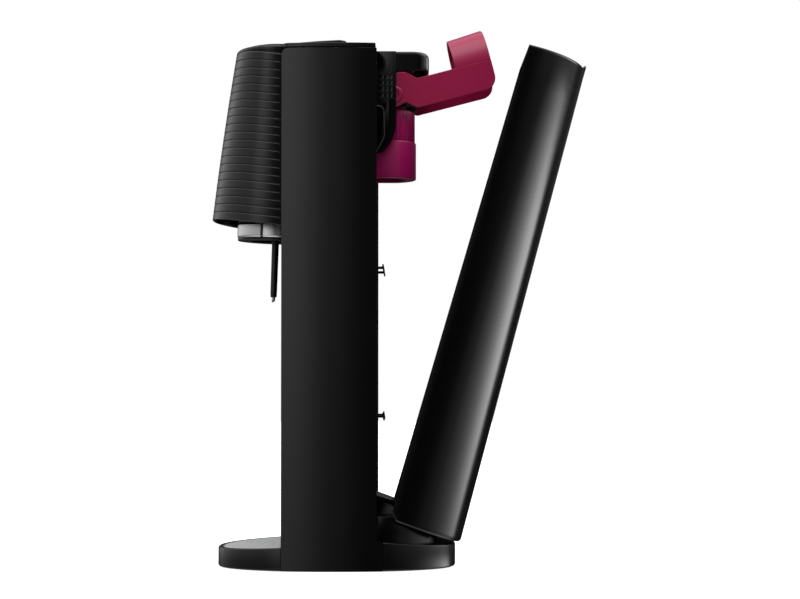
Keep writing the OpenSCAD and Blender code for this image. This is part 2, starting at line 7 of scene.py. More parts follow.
import bmesh
import bpy
import numpy as np
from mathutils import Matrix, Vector

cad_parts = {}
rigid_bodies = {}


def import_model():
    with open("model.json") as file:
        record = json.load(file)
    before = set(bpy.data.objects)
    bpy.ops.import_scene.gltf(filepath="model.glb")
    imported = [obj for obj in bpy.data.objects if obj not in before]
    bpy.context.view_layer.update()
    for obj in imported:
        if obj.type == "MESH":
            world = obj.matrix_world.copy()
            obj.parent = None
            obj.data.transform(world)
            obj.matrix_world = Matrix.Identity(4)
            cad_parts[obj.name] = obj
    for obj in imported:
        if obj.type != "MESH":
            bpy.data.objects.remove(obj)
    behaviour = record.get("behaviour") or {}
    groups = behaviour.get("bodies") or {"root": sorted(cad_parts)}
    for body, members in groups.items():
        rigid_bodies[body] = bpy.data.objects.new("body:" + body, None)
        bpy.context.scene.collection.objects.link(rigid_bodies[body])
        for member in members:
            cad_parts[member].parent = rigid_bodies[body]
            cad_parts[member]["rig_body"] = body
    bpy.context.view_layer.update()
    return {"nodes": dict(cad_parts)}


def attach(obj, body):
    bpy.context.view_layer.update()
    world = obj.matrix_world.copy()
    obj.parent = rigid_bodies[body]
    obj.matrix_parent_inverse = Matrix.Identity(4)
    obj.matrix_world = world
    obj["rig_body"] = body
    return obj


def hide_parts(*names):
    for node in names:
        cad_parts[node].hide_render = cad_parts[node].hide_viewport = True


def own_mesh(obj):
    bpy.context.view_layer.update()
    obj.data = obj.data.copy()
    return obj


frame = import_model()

MM = 0.001
NODES = frame["nodes"]

# ---------------------------------------------------------------- camera, light and floor

EYE = (1.8, 0.0508, 0.150)
FOCUS = (0.0, 0.0508, 0.2141)


def make_camera():
    """A long lens on the machine's side, a little below its middle, looking slightly up."""
    data = bpy.data.cameras.new("camera")
    data.lens, data.sensor_width = 100, 36
    data.clip_end = 50
    camera = bpy.data.objects.new("camera", data)
    bpy.context.scene.collection.objects.link(camera)
    camera.location = EYE
    camera.rotation_euler = (Vector(FOCUS) - camera.location).to_track_quat("-Z", "Y").to_euler()
    bpy.context.scene.camera = camera


def soft_box(name, place, aim, size, power):
    """A rectangular area light at a place, turned to face a point."""
    data = bpy.data.lights.new(name, "AREA")
    data.shape, data.size, data.size_y = "RECTANGLE", size[0], size[1]
    data.energy = power
    light = bpy.data.objects.new(name, data)
    bpy.context.scene.collection.objects.link(light)
    light.location = place
    light.rotation_euler = (Vector(aim) - Vector(place)).to_track_quat("-Z", "Y").to_euler()
    return light


# The air's glow by direction: a soft ring all round, and a bright low sweep behind the machine. Each is a
# list of (degrees about Z from +X, strength), with the share left at a height, as (a direction's Z, share).
RING = [(-180, 0.1), (-162, 0.1), (-150, 0.5), (-145, 0.9), (-120, 0.8), (-95, 0.65), (-62, 0.55), (-45, 0.5),
        (-32, 1.15), (-18, 1.0), (-8, 0.55), (-1, 0.12), (8, 0.0), (25, 0.05), (45, 0.25), (80, 0.4),
        (110, 0.3), (125, 0.25), (136, 0.05), (180, 0.08)]
RING_HEIGHT = [(-0.5, 0.3), (-0.1, 0.22), (-0.06, 0.42), (-0.03, 0.7), (0.04, 0.82), (0.09, 1.0), (0.72, 1.0),
               (0.95, 0.25)]
SWEEP = [(40, 0.0), (62, 0.3), (80, 1.4), (96, 3.0), (112, 4.6), (127, 4.2), (135, 0.0)]
SWEEP_HEIGHT = [(-0.36, 0.1), (-0.3, 0.22), (-0.24, 0.62), (-0.18, 0.85), (-0.13, 1.0), (-0.1, 0.02),
                (0.05, 0.02), (0.12, 0.6), (0.6, 0.4)]
GLOW_TOP = max(strength for _, strength in RING + SWEEP)
# Light from straight above and below: a direction's Z where it starts, where it is full, and its strength
GLOW_ABOVE, GLOW_BELOW = (0.5, 0.8, 0.9), (-0.45, -0.75, 0.55)


def make_world():
    """Studio air: plain white to the eye. Round the machine its strength goes by direction: a gentle ring,
    dim where the eye stands, a bright sweep low behind one side, and soft light from above and below."""
    world = bpy.data.worlds.new("studio")
    bpy.context.scene.world = world
    world.use_nodes = True
    tree = world.node_tree
    tree.nodes.clear()

    def add(kind, operation=None, inputs=()):
        node = tree.nodes.new("ShaderNode" + kind)
        if operation:
            node.operation = operation
        for k, value in enumerate(inputs):
            if isinstance(value, (int, float)):
                node.inputs[k].default_value = value
            elif value is not None:
                tree.links.new(value, node.inputs[k])
        return node

    def ramp(signal, stops, top):
        """A ramp over stops (place from 0 to 1, strength), as a share of the top strength."""
        node = add("ValToRGB", inputs=[signal])
        while len(node.color_ramp.elements) < len(stops):
            node.color_ramp.elements.new(0.5)
        for stop, (place, strength) in zip(node.color_ramp.elements, stops):
            level = strength / top
            stop.position, stop.color = place, (level, level, level, 1)
        return node.outputs["Color"]

    direction = add("SeparateXYZ", inputs=[add("TexCoord").outputs["Generated"]])
    turn = add("Math", "ARCTAN2", [direction.outputs["Y"], direction.outputs["X"]])
    round_share = add("Math", "MULTIPLY_ADD", [turn.outputs[0], 0.5 / math.pi, 0.5]).outputs[0]
    up_share = add("Math", "MULTIPLY_ADD", [direction.outputs["Z"], 0.5, 0.5]).outputs[0]
    strength = 0.0
    for start, full, most in (GLOW_ABOVE, GLOW_BELOW):
        strength = add("MapRange", inputs=[direction.outputs["Z"], start, full, strength, most]).outputs[0]
    for around, heights in ((RING, RING_HEIGHT), (SWEEP, SWEEP_HEIGHT)):
        sideways = ramp(round_share, [((degrees + 180) / 360, level) for degrees, level in around], GLOW_TOP)
        upright = ramp(up_share, [(0.5 + 0.5 * z, level) for z, level in heights], 1.0)
        both = add("Math", "MULTIPLY", [sideways, upright]).outputs[0]
        strength = add("Math", "MULTIPLY_ADD", [both, GLOW_TOP, strength]).outputs[0]
    path, mix, out = add("LightPath"), add("MixShader"), add("OutputWorld")
    seen, glow = add("Background"), add("Background")
    seen.inputs["Color"].default_value = glow.inputs["Color"].default_value = (1, 1, 1, 1)
    tree.links.new(strength, glow.inputs["Strength"])
    tree.links.new(path.outputs["Is Camera Ray"], mix.inputs[0])
    tree.links.new(glow.outputs[0], mix.inputs[1])
    tree.links.new(seen.outputs[0], mix.inputs[2])
    tree.links.new(mix.outputs[0], out.inputs["Surface"])


def make_studio():
    """A pale floor that glows a little of its own, so that it reads as white, and one soft box overhead."""
    soft_box("top_box", (0.5, -0.1, 1.9), (0, 0.05, 0.3), (1.2, 1.2), 5)
    bpy.ops.mesh.primitive_plane_add(size=12, location=(0, 0, 0))
    floor = bpy.context.object
    floor.name = "floor"
    shade = bpy.data.materials.new("pale_floor")
    shade.use_nodes = True
    principled = shade.node_tree.nodes["Principled BSDF"]
    principled.inputs["Base Color"].default_value = (0.93, 0.93, 0.93, 1)
    principled.inputs["Roughness"].default_value = 0.8
    principled.inputs["Emission Color"].default_value = (1, 1, 1, 1)
    principled.inputs["Emission Strength"].default_value = 0.8
    floor.data.materials.append(shade)
    floor.visible_glossy = False
    floor.visible_diffuse = False


make_camera()
make_world()
make_studio()
bpy.context.scene.view_settings.view_transform = "Standard"

# ---------------------------------------------------------------- shader tools


class Signal:
    """A shader output that carries numbers; arithmetic on it adds Math nodes."""

    def __init__(self, shader, socket):
        self.shader, self.socket = shader, socket

    def maths(self, operation, first, second):
        return self.shader.node("Math", {"operation": operation}, {0: first, 1: second})

    def __add__(self, other):
        return self.maths("ADD", self, other)

    def __mul__(self, other):
        return self.maths("MULTIPLY", self, other)

    __radd__ = __add__
    __rmul__ = __mul__


class Finish:
    """One material, built round the Principled shader."""

    def __init__(self, name, **constants):
        self.material = bpy.data.materials.new(name)
        self.material.use_nodes = True
        self.tree = self.material.node_tree
        self.shader = self.tree.nodes["Principled BSDF"]
        for key, value in constants.items():
            self.shader.inputs[key.replace("_", " ")].default_value = value
        self.place = self.node("TexCoord", output="Object")

    def node(self, kind, settings=None, inputs=None, output=0):
        """Adds a node of a type; its settings go on first, then its inputs' values or links."""
        made = self.tree.nodes.new("ShaderNode" + kind)
        for key, value in (settings or {}).items():
            setattr(made, key, value)
        for key, value in (inputs or {}).items():
            self.feed(made.inputs[key], value)
        return Signal(self, made.outputs[output])

    def feed(self, socket, value):
        """Links a signal to a socket, or sets the socket to a plain value."""
        if isinstance(value, Signal):
            self.tree.links.new(value.socket, socket)
        else:
            socket.default_value = value

    def noise(self, scale, detail=3.0, stretch=(1, 1, 1), roughness=0.5):
        """Noise on the object's own coordinates, which may be stretched along an axis."""
        place = self.node("Mapping", inputs={"Vector": self.place, "Scale": stretch})
        settled = {"Vector": place, "Scale": scale, "Detail": detail, "Roughness": roughness}
        return self.node("TexNoise", inputs=settled, output="Fac")

    def colour_between(self, factor, low, high):
        """Base colour that goes from low to high with a factor."""
        mixed = self.node("Mix", {"data_type": "RGBA"}, {0: factor, 6: (*low, 1), 7: (*high, 1)}, output=2)
        self.feed(self.shader.inputs["Base Color"], mixed)

    def roughness(self, signal):
        self.feed(self.shader.inputs["Roughness"], signal)

    def bump(self, height, depth):
        """Relief of a depth in metres."""
        relief = self.node("Bump", inputs={"Height": height, "Distance": depth, "Strength": 1.0},
                           output="Normal")
        self.feed(self.shader.inputs["Normal"], relief)


def moulded(name, low, high, rough, grain, depth, coat=0.0):
    """Moulded plastic: faint cloudy colour, a fine spark-eroded grain, roughness that drifts slightly."""
    drift = 0.08
    finish = Finish(name, Coat_Weight=coat, Coat_Roughness=0.12)
    cloud = finish.noise(14, 4)
    fine = finish.noise(grain, 2)
    smear = finish.noise(35, 5, (1, 1, 0.35))
    finish.colour_between(cloud, low, high)
    finish.roughness(rough - drift * 0.5 + smear * drift + fine * 0.04)
    finish.bump(fine, depth)
    return finish.material


def metal(name, low, high, rough, stretch, grain, depth):
    """Drawn or turned metal: streaks along one direction in colour, roughness and relief."""
    finish = Finish(name, Metallic=1.0)
    streak = finish.noise(grain, 4, stretch, 0.6)
    blotch = finish.noise(60, 3)
    finish.colour_between(streak, low, high)
    finish.roughness(rough + streak * 0.10 + blotch * 0.05)
    finish.bump(streak, depth)
    return finish.material


def dotted_tray_finish():
    """Pale grey plastic with a fine speckle."""
    finish = Finish("tray_plastic")
    speck = finish.noise(900, 3)
    cloud = finish.noise(40, 3)
    finish.colour_between(speck * 0.7 + cloud * 0.3, (0.58, 0.58, 0.585), (0.74, 0.74, 0.745))
    finish.roughness(0.45 + speck * 0.12)
    finish.bump(speck, 0.00006)
    return finish.material


PANEL = moulded("panel_black", (0.0026, 0.0026, 0.0028), (0.0040, 0.0040, 0.0042), 0.22, 2600, 0.000004)
RIBBED = moulded("ribbed_black", (0.0030, 0.0030, 0.0032), (0.0045, 0.0045, 0.0047), 0.26, 2200, 0.000005)
GLOSSY = moulded("cover_black", (0.0022, 0.0022, 0.0024), (0.0035, 0.0035, 0.0037), 0.16, 1800, 0.000002, 0.1)
INNER = moulded("inner_black", (0.0030, 0.0030, 0.0032), (0.0050, 0.0050, 0.0052), 0.32, 1600, 0.00001)
# The holder's magenta and the lever's darker copy below are one plastic: the difference between them is
# painted light and shade, for how the light falls on each.
MAGENTA = moulded("magenta_plastic", (0.56, 0.006, 0.16), (0.64, 0.009, 0.19), 0.30, 2000, 0.000006, 0.15)
SHADED_LEVER_MAGENTA = moulded("lever_magenta_painted_shade", (0.42, 0.004, 0.075), (0.49, 0.006, 0.09), 0.28, 2000, 0.000006,
                        0.15)
# A lighter grey for the cheeks' bead and fins: a painted highlight, for the light lines they catch.
HIGHLIGHT_GREY = moulded("grey_painted_highlight", (0.07, 0.07, 0.07), (0.09, 0.09, 0.09), 0.35, 1600, 0.000006)
RUBBER = moulded("soft_rubber", (0.012, 0.012, 0.012), (0.02, 0.02, 0.02), 0.75, 900, 0.00004)
TRAY = dotted_tray_finish()
CHROME = metal("collar_metal", (0.62, 0.62, 0.63), (0.78, 0.78, 0.79), 0.20, (1, 1, 30), 60, 0.000008)
STEEL = metal("plain_steel", (0.42, 0.42, 0.43), (0.6, 0.6, 0.6), 0.28, (1, 1, 8), 160, 0.00001)
BRASS = metal("turned_brass", (0.55, 0.37, 0.14), (0.7, 0.5, 0.22), 0.25, (1, 1, 12), 150, 0.00001)

# ---------------------------------------------------------------- surface tools

# Distances, in metres, within which corners merge; turns of an edge above which it is rounded or kept sharp,
# and below which the faces beside it are one flat face
WELD, CAD_WELD = 1e-6, 2e-6
ROUNDED_TURN, SHARP_TURN, FLAT_TURN = math.radians(32), math.radians(40), math.radians(0.2)


def rounded(corners, steps=5):
    """Outline through corners (x, y, radius): each corner is an arc tangent to the sides that meet there."""
    points = []
    for i, (x, y, radius) in enumerate(corners):
        here = np.array([x, y], float)
        if radius <= 0:
            points.append(here)
            continue
        before = np.array(corners[i - 1][:2], float) - here
        after = np.array(corners[(i + 1) % len(corners)][:2], float) - here
        before, after = before / np.linalg.norm(before), after / np.linalg.norm(after)
        half = math.acos(np.clip(before @ after, -1, 1)) / 2
        reach = radius / math.tan(half)
        bisector = (before + after) / np.linalg.norm(before + after)
        centre = here + bisector * radius / math.sin(half)
        start, stop = here + before * reach - centre, here + after * reach - centre
        a0 = math.atan2(start[1], start[0])
        turn = (math.atan2(stop[1], stop[0]) - a0 + math.pi) % (2 * math.pi) - math.pi
        angles = a0 + turn * np.linspace(0, 1, steps + 1)
        points.extend(centre + radius * np.stack([np.cos(angles), np.sin(angles)], 1))
    return np.array(points)


def signed_power(value, power):
    """A power of a value's size, with the value's sign."""
    return np.sign(value) * np.abs(value) ** power


def superellipse(half_x, half_y, n, angles):
    """Points with |x/half_x|^n + |y/half_y|^n = 1 at the given angles, in radians."""
    across, along = signed_power(np.cos(angles), 2 / n), signed_power(np.sin(angles), 2 / n)
    return np.stack([half_x * across, half_y * along], -1)


def loops_part(loops, wrap=False, caps=True):
    """Vertices and faces of closed loops (count, points, 3) joined in turn, with flat ends or none."""
    count, points = loops.shape[:2]
    index = np.arange(count * points).reshape(count, points)
    rows = index if wrap else index[:-1]
    after = np.roll(index, -1, 0) if wrap else index[1:]
    quads = np.stack([rows, np.roll(rows, -1, 1), np.roll(after, -1, 1), after], -1).reshape(-1, 4)
    faces = quads.tolist()
    if caps and not wrap:
        faces += [index[0][::-1].tolist(), index[-1].tolist()]
    return loops.reshape(-1, 3), faces


def prism_part(outline, low, high):
    """An outline (points, 2) in plan carried up from low to high, each a height or one height per point."""
    floor, roof = (np.broadcast_to(np.asarray(z, float), len(outline)) for z in (low, high))
    return loops_part(np.stack([np.column_stack([outline, floor]), np.column_stack([outline, roof])]))


def side_part(outline, x0, x1):
    """An outline (points, 2) of (Y, Z) carried along X from x0 to x1."""
    ends = [np.column_stack([np.full(len(outline), x), outline]) for x in (x0, x1)]
    return loops_part(np.stack(ends))


def turned_part(profile, centre, segments=72):
    """A closed profile (points, 2) of (radius, Z) turned about a vertical axis through centre (x, y)."""
    angles = np.linspace(0, 2 * np.pi, segments, endpoint=False)[:, None]
    radius, height = profile[:, 0][None], profile[:, 1][None]
    loops = np.stack([centre[0] + radius * np.cos(angles), centre[1] + radius * np.sin(angles),
                      np.broadcast_to(height, (segments, len(profile)))], -1)
    return loops_part(loops, wrap=True)


def turned_about_x(points, centre, degrees):
    """Points (..., 3) turned about an X axis through centre (y, z), by the right-hand rule."""
    c, s = math.cos(math.radians(degrees)), math.sin(math.radians(degrees))
    y, z = points[..., 1] - centre[0], points[..., 2] - centre[1]
    return np.stack([points[..., 0], centre[0] + y * c - z * s, centre[1] + y * s + z * c], -1)


def mirrored(parts):
    """The parts and their copies on the other side of the middle plane."""
    both = list(parts)
    for verts, faces in parts:
        both.append((np.asarray(verts) * [-1, 1, 1], [face[::-1] for face in faces]))
    return both


def add_bevel(thing, width, segments):
    """Rounds the edges that turn by more than ROUNDED_TURN; width in millimetres."""
    bevel = thing.modifiers.new("edges", "BEVEL")
    bevel.width, bevel.segments = width * MM, segments
    bevel.limit_method, bevel.angle_limit = "ANGLE", ROUNDED_TURN
    bevel.harden_normals = True
    bevel.use_clamp_overlap = True


def make_piece(name, parts, body, material, stands_for=(), bevel=0.0):
    """Joins parts, in millimetres, into one closed mesh with outward faces, and places it on its body."""
    verts, faces, offset = [], [], 0
    for points, polygons in parts:
        verts.append(np.asarray(points, float) * MM)
        faces += [[i + offset for i in polygon] for polygon in polygons]
        offset += len(points)
    mesh = bpy.data.meshes.new(name)
    mesh.from_pydata(np.concatenate(verts).tolist(), [], faces)
    work = bmesh.new()
    work.from_mesh(mesh)
    bmesh.ops.remove_doubles(work, verts=work.verts, dist=WELD)
    bmesh.ops.dissolve_degenerate(work, edges=work.edges, dist=WELD)
    bmesh.ops.recalc_face_normals(work, faces=work.faces)
    work.to_mesh(mesh)
    work.free()
    mesh.shade_smooth()
    thing = bpy.data.objects.new(name, mesh)
    bpy.context.scene.collection.objects.link(thing)
    if bevel:
        add_bevel(thing, bevel, 3)
    else:
        mesh.set_sharp_from_angle(angle=SHARP_TURN)
    mesh.materials.append(material)
    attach(thing, body)
    if stands_for:
        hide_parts(*stands_for)
    return thing


def soften(node, material, bevel=0.4, segments=2):
    """A merged copy of a CAD node with its flat faces made whole and its edges rounded."""
    source = NODES[node]
    mesh = source.data.copy()
    work = bmesh.new()
    work.from_mesh(mesh)
    bmesh.ops.remove_doubles(work, verts=work.verts, dist=CAD_WELD)
    bmesh.ops.dissolve_limit(work, angle_limit=FLAT_TURN, verts=work.verts, edges=work.edges,
                             use_dissolve_boundaries=False)
    work.to_mesh(mesh)
    work.free()
    mesh.shade_smooth()
    mesh.materials.clear()
    mesh.materials.append(material)
    thing = bpy.data.objects.new(node + "_finished", mesh)
    bpy.context.scene.collection.objects.link(thing)
    if bevel:
        add_bevel(thing, bevel, segments)
    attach(thing, source["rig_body"])
    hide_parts(node)
    return thing


# ---------------------------------------------------------------- sizes shared by the pieces, millimetres

# The base's outline, carried up by the side skins, is |x / HALF_W|^PLAN_N + |y / HALF_LEN|^PLAN_N = 1
HALF_W, HALF_LEN, PLAN_N = 74.0, 95.3, 2.5
COL_FRONT, COL_REAR, COL_TOP = -41.8, 32.6, 408.4
# The bottle's axis, and its round recess in the column's front
BOTTLE_Y, RECESS_R = -48.5, 44.5
# The decks: the front one climbs from the base's front end, the rear one falls from DECK_HIGH to its rear end
DECK_FRONT_Z, DECK_SLOPE = 15.7, 0.052
DECK_HIGH_Y, DECK_HIGH_Z, DECK_REAR_Z = 36.0, 22.9, 18.2
BACK_SLOPE = (DECK_HIGH_Z - DECK_REAR_Z) / (HALF_LEN - DECK_HIGH_Y)
PANEL_T = 2.6
FOOT_FLARE = 4.5


def front_deck_z(y):
    return DECK_FRONT_Z + (y + HALF_LEN) * DECK_SLOPE


def back_deck_z(y):
    return DECK_HIGH_Z - (y - DECK_HIGH_Y) * BACK_SLOPE


def plan_angle(y, reach=HALF_LEN):
    """Angle at which an outline of the base's kind, with a reach along Y, is as far from X's axis as y is."""
    return math.asin((abs(y) / reach) ** (PLAN_N / 2))


def plan_x(y, inset=0.0):
    """Half width of the base's outline at a place along Y."""
    return (HALF_W - inset) * (1 - (np.abs(y) / (HALF_LEN - inset)) ** PLAN_N) ** (1 / PLAN_N)


# ---------------------------------------------------------------- base


def base_end_part(sign, y_cut, deck_z, pocket):
    """Half of the base: sections from its middle to the outline, carried round a rounded-square plan.

    Each section runs from the middle of the underside out to a filleted foot, up the wall, over a filleted
    rim and back to the middle along the deck, which may be sunk by a pocket inside a narrow lip."""
    start = plan_angle(y_cut) + 0.002
    angles = sign * np.linspace(start, math.pi - start, 97)
    bottom, foot, rim, lip, step = 0.5, 1.6, 0.9, 4.0, 5
    arc = np.linspace(0, np.pi / 2, 6)
    insets = [*(foot * (1 - np.sin(arc))), *(rim * (1 - np.cos(arc))), lip] + [lip + 0.2] * bool(pocket)
    outer = superellipse(HALF_W, HALF_LEN, PLAN_N, angles)
    inward = (superellipse(HALF_W - step, HALF_LEN - step, PLAN_N, angles) - outer) / step
    plan = outer[:, None] + inward[:, None] * np.array(insets)[:, None]
    heights = deck_z(plan[..., 1])
    heights[:, :6] = foot * (1 - np.cos(arc)) + bottom
    heights[:, 6:12] -= rim * (1 - np.sin(arc))
    heights[:, 13:] -= pocket
    ends = [np.broadcast_to([0.0, y_cut, z], (len(angles), 1, 3)) for z in (bottom, deck_z(y_cut) - pocket)]
    return loops_part(np.concatenate([ends[0], np.dstack([plan, heights]), ends[1]], 1))


def make_base():
    """The base's front end, sunk for the tray, and its rear deck, meeting the side panels in a thin seam."""
    parts = [base_end_part(-1, COL_FRONT - 0.25, front_deck_z, 5.2),
             base_end_part(1, COL_REAR + FOOT_FLARE + 0.3, back_deck_z, 0.0)]
    make_piece("base_tub", parts, "root", PANEL, ["base_shell"])


TRAY_SUNK = 0.2


def tray_outline(inset):
    """Plan of the tray: the base's front outline drawn in, with a round tongue into the bottle's recess."""
    rear = COL_FRONT - 0.9 - inset
    a, b = HALF_W - 4.3 - inset, HALF_LEN - 4.3 - inset
    start = plan_angle(rear, b)
    front = superellipse(a, b, PLAN_N, -np.linspace(start, math.pi - start, 90))
    r = RECESS_R - 1.0 - inset
    turn = math.asin((rear - BOTTLE_Y) / r)
    tongue_angles = np.linspace(math.pi - turn, turn, 48)
    tongue = np.stack([r * np.cos(tongue_angles), BOTTLE_Y + r * np.sin(tongue_angles)], 1)
    return np.concatenate([front, tongue])


def tray_studs():
    """Low round studs in staggered rows, each two rings and a small flat top, inside the tray's edge."""
    pitch, radius, height, margin = 2.9, 0.85, 0.35, 3.5
    rows = np.arange(-92, -4, pitch * math.sqrt(3) / 2)
    xs = np.arange(-72, 72, pitch)
    x, y = np.broadcast_arrays(xs + (np.arange(len(rows)) % 2)[:, None] * pitch / 2, rows[:, None])
    a, b = HALF_W - 8.5, HALF_LEN - 8.5
    on_front = (y < COL_FRONT - margin) & ((np.abs(x) / a) ** PLAN_N + (np.abs(y) / b) ** PLAN_N < 1)
    on_tongue = (y >= COL_FRONT - margin) & (x ** 2 + (y - BOTTLE_Y) ** 2 < (RECESS_R - 4) ** 2)
    places = np.stack([x, y], -1)[on_front | on_tongue]
    ring = np.linspace(0, 2 * np.pi, 8, endpoint=False)
    circle = radius * np.stack([np.cos(ring), np.sin(ring)], 1)
    share, rise = np.array([(1.0, -0.15), (0.78, 0.62), (0.3, 1.0)]).T
    plan = places[:, None, None] + circle * share[:, None, None]
    z = front_deck_z(plan[..., 1]) - TRAY_SUNK + height * rise[:, None]
    return [loops_part(stud) for stud in np.concatenate([plan, z[..., None]], -1)]


def make_tray():
    """The drip tray: a thin dish with an eased edge, and rows of low round studs on its sloped face."""
    ease, thick = 0.5, 4.8
    outline, eased = tray_outline(0.0), tray_outline(ease)
    top = front_deck_z(outline[:, 1]) - TRAY_SUNK
    loops = np.stack([np.column_stack([outline, top - thick]), np.column_stack([outline, top - ease]),
                      np.column_stack([eased, front_deck_z(eased[:, 1]) - TRAY_SUNK])])
    make_piece("tray_dish", [loops_part(loops)] + tray_studs(), "tray", TRAY, ["drip_tray"])


# ---------------------------------------------------------------- column


def make_side_panels():
    """Side skins: a strip of the base's outline carried up, its front edge drawn back round the top corner.
    The rear edge flares out at the foot."""
    corner, bottom, flare_low, flare_high = 4.8, 0.5, 21.6, 27.0
    arc = np.linspace(0, np.pi / 2, 12)
    heights = np.concatenate([[bottom, flare_low, flare_high, 120.0, 260.0],
                              COL_TOP - corner + corner * np.sin(arc)])
    fronts = np.concatenate([[COL_FRONT] * 5, COL_FRONT + corner * (1 - np.cos(arc))])
    rears = np.concatenate([[COL_REAR + FOOT_FLARE] * 2, np.full(len(heights) - 2, COL_REAR)])
    share = np.linspace(0, 1, 40)
    loops = []
    for z, y0, y1 in zip(heights, fronts, rears):
        y = y0 + (y1 - y0) * share
        outer = np.column_stack([plan_x(y), y, np.full(len(y), z)])
        inner = np.column_stack([plan_x(y, PANEL_T), y, np.full(len(y), z)])
        loops.append(np.concatenate([outer, inner[::-1]]))
    part = loops_part(np.array(loops))
    for side, one in zip(("right", "left"), mirrored([part])):
        make_piece("side_skin_" + side, [one], "root", PANEL, ["side_panel_" + side],
                   bevel=0.5)


def make_front_panel():
    """The column's front: flat flanges that turn through a small radius into the bottle's round recess."""
    thick, blend, top = 2.4, 4.0, 297.6
    mid_r = RECESS_R + thick / 2
    y_mid = COL_FRONT + 0.3 + thick / 2
    x_end = plan_x(y_mid, PANEL_T + 0.4)
    meet_x = math.sqrt((mid_r + blend) ** 2 - (y_mid + blend - BOTTLE_Y) ** 2)
    c = np.array([meet_x, y_mid + blend])
    to_axis = math.atan2(BOTTLE_Y - c[1], -c[0])
    bend = np.linspace(-math.pi / 2, to_axis, 10)
    turn_in = c + blend * np.stack([np.cos(bend), np.sin(bend)], 1)
    a0 = math.atan2(turn_in[-1][1] - BOTTLE_Y, turn_in[-1][0])
    arc = np.linspace(a0, math.pi / 2, 40)[1:]
    bowl = np.stack([mid_r * np.cos(arc), BOTTLE_Y + mid_r * np.sin(arc)], 1)
    half = np.concatenate([[[x_end, y_mid]], turn_in, bowl])
    path = np.concatenate([half, (half * [-1, 1])[::-1][1:]])
    along = np.gradient(path, axis=0)
    normal = np.stack([along[:, 1], -along[:, 0]], 1) / np.linalg.norm(along, axis=1)[:, None]
    outline = np.concatenate([path + normal * thick / 2, (path - normal * thick / 2)[::-1]])
    make_piece("column_front", [prism_part(outline, front_deck_z(outline[:, 1]) + 0.1, top)], "root",
               PANEL, ["front_panel"], bevel=0.3)


def make_step_walls():
    """Side walls of the raised step behind the column, from its roof down to the sloped deck."""
    wide, deep, n, thick, roof = 66, 50, 2.2, 2, 40.8
    angles = np.linspace(0.33, 1.22, 30)
    outer, inner = superellipse(wide, deep, n, angles), superellipse(wide - thick, deep - thick, n, angles)
    outline = np.concatenate([outer, inner[::-1]]) + [0, COL_REAR + 0.3]
    wall = prism_part(outline, back_deck_z(outline[:, 1]) + 0.1, roof)
    make_piece("step_walls", mirrored([wall]), "root", GLOSSY)


def make_top_cap():
    """The column's lid: its plan follows the side skins, with round front corners and the button's slot."""
    low, high, corner, slot, slot_rear = 409.2, 412.5, 7.4, 20.4, 9.9
    rear, front = COL_REAR - 0.9, COL_FRONT + 0.4
    skirt_low, skirt_outer, skirt_inner = 398.9, 2.9, 4.9
    ys = np.linspace(front + corner, rear, 24)
    side = np.column_stack([plan_x(ys, 0.6), ys])
    x0 = side[0][0]
    turn = np.linspace(0, math.pi / 2, 9)[1:]
    nose = np.stack([x0 - corner + corner * np.cos(turn), front + corner - corner * np.sin(turn)], 1)
    right = np.concatenate([side[::-1], nose, [[slot, front], [slot, slot_rear]]])
    outline = np.concatenate([right, (right * [-1, 1])[::-1]])
    skirt_y = np.linspace(COL_FRONT + 8, rear - 0.6, 20)
    skirt = np.concatenate([np.column_stack([plan_x(skirt_y, skirt_outer), skirt_y]),
                            np.column_stack([plan_x(skirt_y, skirt_inner), skirt_y])[::-1]])
    parts = [prism_part(outline, low, high)] + mirrored([prism_part(skirt, skirt_low, low + 0.2)])
    make_piece("column_lid", parts, "root", PANEL, ["top_cap"], bevel=0.6)


# ---------------------------------------------------------------- head

# The head's reach and half width, at the start of its flare and at its top; belly swells the flare's middle
HEAD_BACK, HEAD_N = COL_FRONT - 0.5, 2.4
HEAD_LOW_REACH, HEAD_TOP_REACH, HEAD_BELLY, FLARE_Z = 100.6, 81.2, 3.2, 278.6
HEAD_LOW_HALF, HEAD_TOP_HALF = 66.0, 62.0
HEAD_TOP, HEAD_CROWN, RIM_Z = 412.4, 419.0, 270.0
RIM_TILT = math.tan(math.radians(7.1))
GROOVES, GROOVE_PITCH, FIRST_GROOVE = 21, 6.46, 276.3


def head_reach(z):
    """How far the head stands out at a height: a straight flare with a slight belly."""
    t = np.clip((z - FLARE_Z) / (HEAD_TOP - FLARE_Z), -0.1, 1)
    return HEAD_LOW_REACH - (HEAD_LOW_REACH - HEAD_TOP_REACH) * t + HEAD_BELLY * t * (1 - t) + HEAD_BACK


def head_half(z):
    """The head's half width at a height: it narrows evenly from its rim to its top."""
    t = np.clip((z - RIM_Z) / (HEAD_TOP - RIM_Z), 0, 1)
    return HEAD_LOW_HALF - (HEAD_LOW_HALF - HEAD_TOP_HALF) * t


def head_point(angle, w, inset):
    """Point of the bell at an angle round it and at a height w above its tilted rim plane, settled in a few
    rounds. Within waist_deep of the column the sides draw in by a small share."""
    waist_share, waist_deep = 0.03, 26.0
    s, c = np.sin(angle) ** (2 / HEAD_N), signed_power(np.cos(angle), 2 / HEAD_N)
    z = np.array(w, float)
    for _ in range(6):
        depth = (head_reach(z) - inset) * s
        z = w + depth * RIM_TILT
    waist = 1 - waist_share * np.clip(1 - depth / waist_deep, 0, 1) ** 2
    return np.stack([(head_half(z) - inset) * c * waist, HEAD_BACK - depth, z], -1)


def groove_depth(w):
    """Depth of the fine grooves: a narrow round notch at each pitch, its upper side the steeper one."""
    deep, width_above, width_below = 0.42, 0.22, 0.5
    k = np.clip(np.round((w - FIRST_GROOVE) / GROOVE_PITCH), 0, GROOVES - 1)
    off = w - (FIRST_GROOVE + k * GROOVE_PITCH)
    return deep * np.exp(-(off / np.where(off > 0, width_above, width_below)) ** 2)


